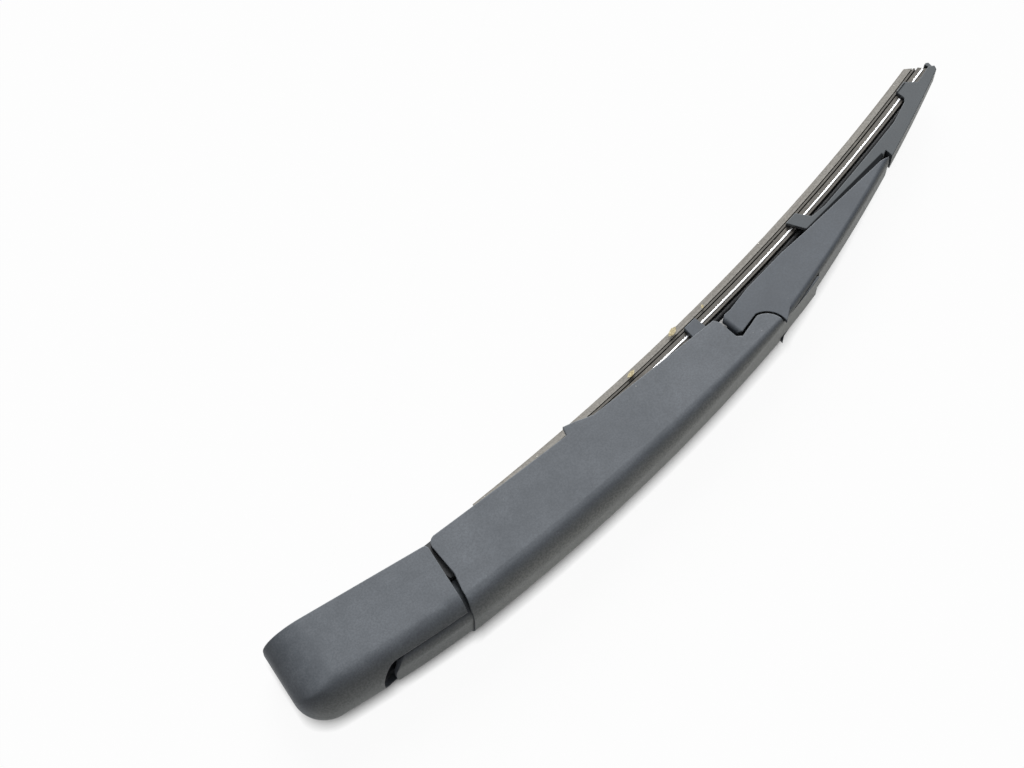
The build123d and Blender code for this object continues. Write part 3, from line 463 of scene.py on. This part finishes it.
def new_tree(name, **inputs):
    """Empty Geometry Nodes tree with the named inputs, each given by its kind of socket."""
    tree = bpy.data.node_groups.new(name, "GeometryNodeTree")
    tree.interface.new_socket("Geometry", in_out="OUTPUT", socket_type="NodeSocketGeometry")
    for label, kind in inputs.items():
        tree.interface.new_socket(label, in_out="INPUT", socket_type="NodeSocket" + kind)
    entry = tree.nodes.new("NodeGroupInput")
    return Growth(tree), {label: Growth(tree, entry.outputs[label]) for label in inputs}


def close_tree(g, shapes, finish):
    """Makes the shapes real, gives them their finish and hands them out."""
    smooth = g.node("SetShadeSmooth", None, {"Geometry": shapes})
    real = g.node("RealizeInstances", None, {"Geometry": smooth})
    done = g.node("SetMaterial", None, {"Geometry": real, "Material": finish})
    leave = g.tree.nodes.new("NodeGroupOutput")
    g.feed(leave.inputs["Geometry"], done)
    return g.tree


def grow(name, body, tree, **values):
    """Plain mesh made by a tree with these values, riding a body."""
    piece = new_object(name, bpy.data.meshes.new(name))
    growth = piece.modifiers.new(name, "NODES")
    growth.node_group = tree
    for item in tree.interface.items_tree:
        if item.in_out == "INPUT":
            growth[item.identifier] = values[item.name]
    graph = bpy.context.evaluated_depsgraph_get()
    mesh = bpy.data.meshes.new_from_object(piece.evaluated_get(graph), depsgraph=graph)
    piece.modifiers.clear()
    piece.data = mesh
    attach(piece, body)
    return piece


def circle(g, radius, steps):
    return g.node("CurvePrimitiveCircle", None, {"Resolution": steps, "Radius": radius})


def drawn_along(g, path, radius, steps):
    """Round bar of a radius along a path, closed at its ends."""
    section = circle(g, radius, steps)
    return g.node("CurveToMesh", None, {"Curve": path, "Profile Curve": section, "Fill Caps": True})


def laid(g, shape, where, turn=(0, 0, 0)):
    return g.node("Transform", None, {"Geometry": shape, "Translation": where, "Rotation": turn})


def wound_spring():
    """Round wire: the coil, a ring at each end, and the straight length to the anchor's ring."""
    g, given = new_tree("wound_spring", Turns="Float", Coil="Float", Wire="Float", Finish="Material")
    winding = {
        "Resolution": 22,
        "Rotations": given["Turns"],
        "Start Radius": given["Coil"],
        "End Radius": given["Coil"],
        "Height": (COIL_END - COIL_START).length,
    }
    quarter = math.pi / 2
    coil = laid(g, g.node("CurveSpiral", None, winding), COIL_START, (0, quarter, SPRING_TURN))
    hook = laid(g, circle(g, given["Coil"], steps=28), LINK_RING, (quarter, 0, SPRING_TURN))
    eye = laid(g, circle(g, ANCHOR_RING_R, steps=24), ANCHOR_RING)
    coil_last = COIL_END - Vector((0, 0, COIL_R))
    eye_side = ANCHOR_RING - SPRING_ALONG * ANCHOR_RING_R
    stem = g.node("CurvePrimitiveLine", None, {"Start": coil_last, "End": eye_side})
    paths = g.node("JoinGeometry", None, {"Geometry": [coil, hook, eye, stem]})
    return close_tree(g, drawn_along(g, paths, given["Wire"], steps=10), given["Finish"])


def heel_bead():
    """Round bead along the back of the rubber, following its bow; given a dark finish, it paints the shade
    there.
    """
    g, given = new_tree("heel_bead", Radius="Float", Finish="Material")
    first, last = BEAD_ENDS
    half = 0.5 * (last - first) / BLADE_BOW
    ends = {
        "Start": bow_point(first, BEAD_BACK),
        "Middle": bow_point(0.5 * (first + last), BEAD_BACK, 1 / math.cos(half)),
        "End": bow_point(last, BEAD_BACK),
    }
    path = g.node("CurveQuadraticBezier", None, {"Resolution": 48, **ends})
    return close_tree(g, drawn_along(g, path, given["Radius"], steps=14), given["Finish"])


def scattered_specks():
    """Flat specks of dust strewn over a piece."""
    g, given = new_tree(
        "scattered_specks", Host="Object", Density="Float", Size="Float", Seed="Int", Finish="Material"
    )
    host = g.node("ObjectInfo", {"transform_space": "ORIGINAL"}, {"Object": given["Host"]}, "Geometry")
    strewn = {"Mesh": host, "Density": given["Density"], "Seed": given["Seed"]}
    points = g.node("DistributePointsOnFaces", None, strewn)
    speck = g.node("MeshUVSphere", None, {"Segments": 7, "Rings": 5, "Radius": given["Size"]})
    speck = g.node("Transform", None, {"Geometry": speck, "Scale": DUST_FLATNESS})
    sizes = {RANDOM_LOW: DUST_SIZES[0], RANDOM_HIGH: DUST_SIZES[1], "Seed": given["Seed"]}
    scale = g.node("FunctionNodeRandomValue", {"data_type": "FLOAT"}, sizes, RANDOM_RESULT)
    spread = {"Points": points, "Instance": speck, "Rotation": points.other("Rotation"), "Scale": scale}
    return close_tree(g, g.node("InstanceOnPoints", None, spread), given["Finish"])


def slabs(name, finish, rings):
    """Slabs, each from a lower and an upper ring of millimetre corners, clockwise seen from above."""
    corners, faces = [], []
    for lower, upper in rings:
        first, count = len(corners), len(lower)
        corners += [(x * MM, y * MM, z * MM) for x, y, z in lower + upper]
        faces.append([first + i for i in range(count)])
        faces.append([first + count + i for i in reversed(range(count))])
        for i in range(count):
            j = (i + 1) % count
            faces.append([first + i, first + count + i, first + count + j, first + j])
    mesh = bpy.data.meshes.new(name)
    mesh.from_pydata(corners, [], faces)
    mesh.materials.append(finish)
    return new_object(name, mesh)


def seam_flange(finish):
    """Dark sheet shaped as an inner edge of the arm, painting the shade behind the upper part of the seam,
    one at each side.
    """
    outline = FLANGE_INNER + FLANGE_OUTER
    rings = [[[(x, y, z) for x, y in outline] for z in reach] for reach in FLANGE_REACH]
    piece = slabs("seam_flange", finish, rings)
    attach(piece, "arm")


def leaf_ring(leaf, height):
    """Outline of one bit of leaf, curled up at its ends and edges."""
    (x, y), length, width, turn = leaf
    ring = []
    for u, v in LEAF_OUTLINE:
        spot = Vector((u * length, v * width)) @ Matrix.Rotation(-turn, 2)
        ring.append((x + spot.x, y + spot.y, height + LEAF_CURL * (abs(u) + v * v)))
    return ring


def leaf_bits(finish):
    """Curled bits of leaf stuck to the upper side of the rubber."""
    rings = [[leaf_ring(leaf, height) for height in LEAF_HEIGHTS] for leaf in LEAVES]
    piece = slabs("leaf_bits", finish, rings)
    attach(piece, "blade")


def seen_straight(s):
    """1 where the eye, a reflection or a clear surface sees straight on."""
    eye = s.node("LightPath", out="Is Camera Ray")
    return s.math("MINIMUM", eye + eye.other("Is Glossy Ray") + eye.other("Is Transmission Ray"), 1.0)


def make_floor():
    """White floor under the object, with a painted shadow that darkens it only where the object stands close
    over it.
    """
    low = CAD_BOX[0][2]
    mesh = bpy.data.meshes.new("floor")
    turns = [(-1, -1), (1, -1), (1, 1), (-1, 1)]
    mesh.from_pydata([(x * FLOOR_REACH, y * FLOOR_REACH, low) for x, y in turns], [], [(0, 1, 2, 3)])
    floor = new_object("floor", mesh)
    material, shader, s = new_material("white_paper", Roughness=0.9, Specular_IOR_Level=0.0)
    seen = seen_straight(s)
    s.feed(shader.inputs["Base Color"], s.mix(seen, PAPER_LIT, PAPER_SEEN))
    # Painted shadow: the floor's glow darkens where the object stands close over it
    contact = s.openness(CONTACT_REACH, samples=8)
    open_floor = contact * s.openness(SHADE_REACH, samples=12).step(*SHADE_OPEN)
    glow = s.node("Emission", None, {"Color": s.mix(open_floor, PAINTED_CONTACT_SHADOW, PAPER_SEEN)})
    s.cover(shader, seen * (FLOOR_GLOW - FLOOR_BOUNCE) + FLOOR_BOUNCE, glow)
    mesh.materials.append(material)


def make_light():
    """Soft sun from behind the object and a pale sky."""
    sun = bpy.data.lights.new("sun", "SUN")
    sun.energy = math.pi * SUN_LEVEL / SUN_FROM.normalized().z
    sun.angle = SUN_SPREAD
    lamp = new_object("sun", sun)
    lamp.rotation_euler = SUN_FROM.to_track_quat("Z", "Y").to_euler()

    world = bpy.data.worlds.new("studio")
    world.use_nodes = True
    s = Shade(world.node_tree)
    sky = (SKY_LEVEL, SKY_LEVEL, SKY_LEVEL * SKY_BLUE, 1.0)
    back = world.node_tree.nodes["Background"]
    s.feed(back.inputs["Color"], s.mix(seen_straight(s), sky, FULL_WHITE))
    bpy.context.scene.world = world


def make_camera():
    """Camera at the photograph's viewing angle."""
    look = LOOK.normalized()
    right = look.cross(Vector((0, 0, 1))).normalized()
    up = right.cross(look)
    camera = bpy.data.cameras.new("viewer")
    camera.lens = LENS
    camera.sensor_width = PICTURE_WIDTH
    camera.sensor_fit = "HORIZONTAL"
    camera.clip_start = NEAREST_VIEW
    viewer = new_object("viewer", camera)
    viewer.matrix_world = Matrix.Translation(EYE) @ Matrix((right, up, -look)).transposed().to_4x4()
    bpy.context.scene.camera = viewer


bpy.context.scene.view_settings.view_transform = "Standard"
make_camera()
make_floor()
make_light()

# Weathered mouldings, with darker copies for the levers as painted shade
ARM_PLASTIC = faded_plastic("arm_plastic", colour(86, 91, 97), colour(111, 116, 122))
# Painted shade: the same plastic made darker for the levers, darkest on the far lever
LEVER_SHADED_PLASTIC = faded_plastic("lever_shaded_plastic", colour(72, 77, 84), colour(92, 98, 105), edge_wear_and_sheen=0.25)
FAR_LEVER_SHADED_PLASTIC = faded_plastic(
    "far_lever_shaded_plastic", colour(66, 71, 75), colour(84, 90, 94), edge_wear_and_sheen=0.25, with_plate_shadow=True
)
put_on(ARM_PLASTIC, "head_cover", "arm_body")
put_on(LEVER_SHADED_PLASTIC, "primary_lever", "near_lever")
put_on(FAR_LEVER_SHADED_PLASTIC, "far_lever")
put_on(aged_rubber(), "wiper_rubber")

# Metals, each with its marks per metre along X, Y and Z
BRIGHT_STRIP = bare_metal(
    "bright_strip", colour(190, 191, 193), colour(225, 226, 228), rough=0.2, marks=(30, 900, 900)
)
CASTING = bare_metal(
    "painted_casting",
    colour(72, 74, 76),
    colour(88, 90, 92),
    rough=0.45,
    marks=(700, 700, 700),
    metallic=0.2,
)
PIN_METAL = bare_metal(
    "plated_pin", colour(165, 166, 168), colour(195, 196, 198), rough=0.25, marks=(900, 900, 60)
)
LINK_PLATE = bare_metal(
    "link_plate", colour(135, 136, 138), colour(168, 169, 171), rough=0.35, marks=(60, 800, 800)
)
SPRING_STEEL = bare_metal(
    "spring_wire", colour(110, 112, 116), colour(150, 152, 156), rough=0.3, marks=(400, 400, 400)
)
put_on(BRIGHT_STRIP, "backing_strip_upper", "backing_strip_lower")
put_on(CASTING, "mounting_head")
put_on(PIN_METAL, "hinge_pin", "spring_link_pin", "spring_anchor_pin")
put_on(PIN_METAL, "blade_pivot_pin", "far_lever_pin", "near_lever_pin")
put_on(LINK_PLATE, "spring_link")
SPRING = grow(
    "spring_coil", "arm", wound_spring(), Turns=COIL_TURNS, Coil=COIL_R, Wire=WIRE_R, Finish=SPRING_STEEL
)
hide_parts("tension_spring")

# Nylon of the bearings, and the dark pieces that paint the shade behind the seam and the rubber
NATURAL_NYLON = plain_nylon("natural_nylon", colour(196, 193, 184), colour(218, 215, 207))
# Near-black finish for the pieces of painted shade
SHADE_DARK_FINISH = plain_nylon("painted_shade_dark", colour(34, 35, 37), colour(50, 52, 54))
put_on(NATURAL_NYLON, "hinge_bush_upper", "hinge_bush_lower", "pivot_insert")
seam_flange(SHADE_DARK_FINISH)
grow("heel_bead", "blade", heel_bead(), Radius=BEAD_R, Finish=SHADE_DARK_FINISH)

# Dust and bits of leaf on the rubber
DUST = {"Host": NODES["wiper_rubber"], "Density": DUST_DENSITY, "Size": DUST_R, "Seed": DUST_SEED}
grow("rubber_dust", "blade", scattered_specks(), **DUST, Finish=pale_dust())
leaf_bits(dry_leaf())
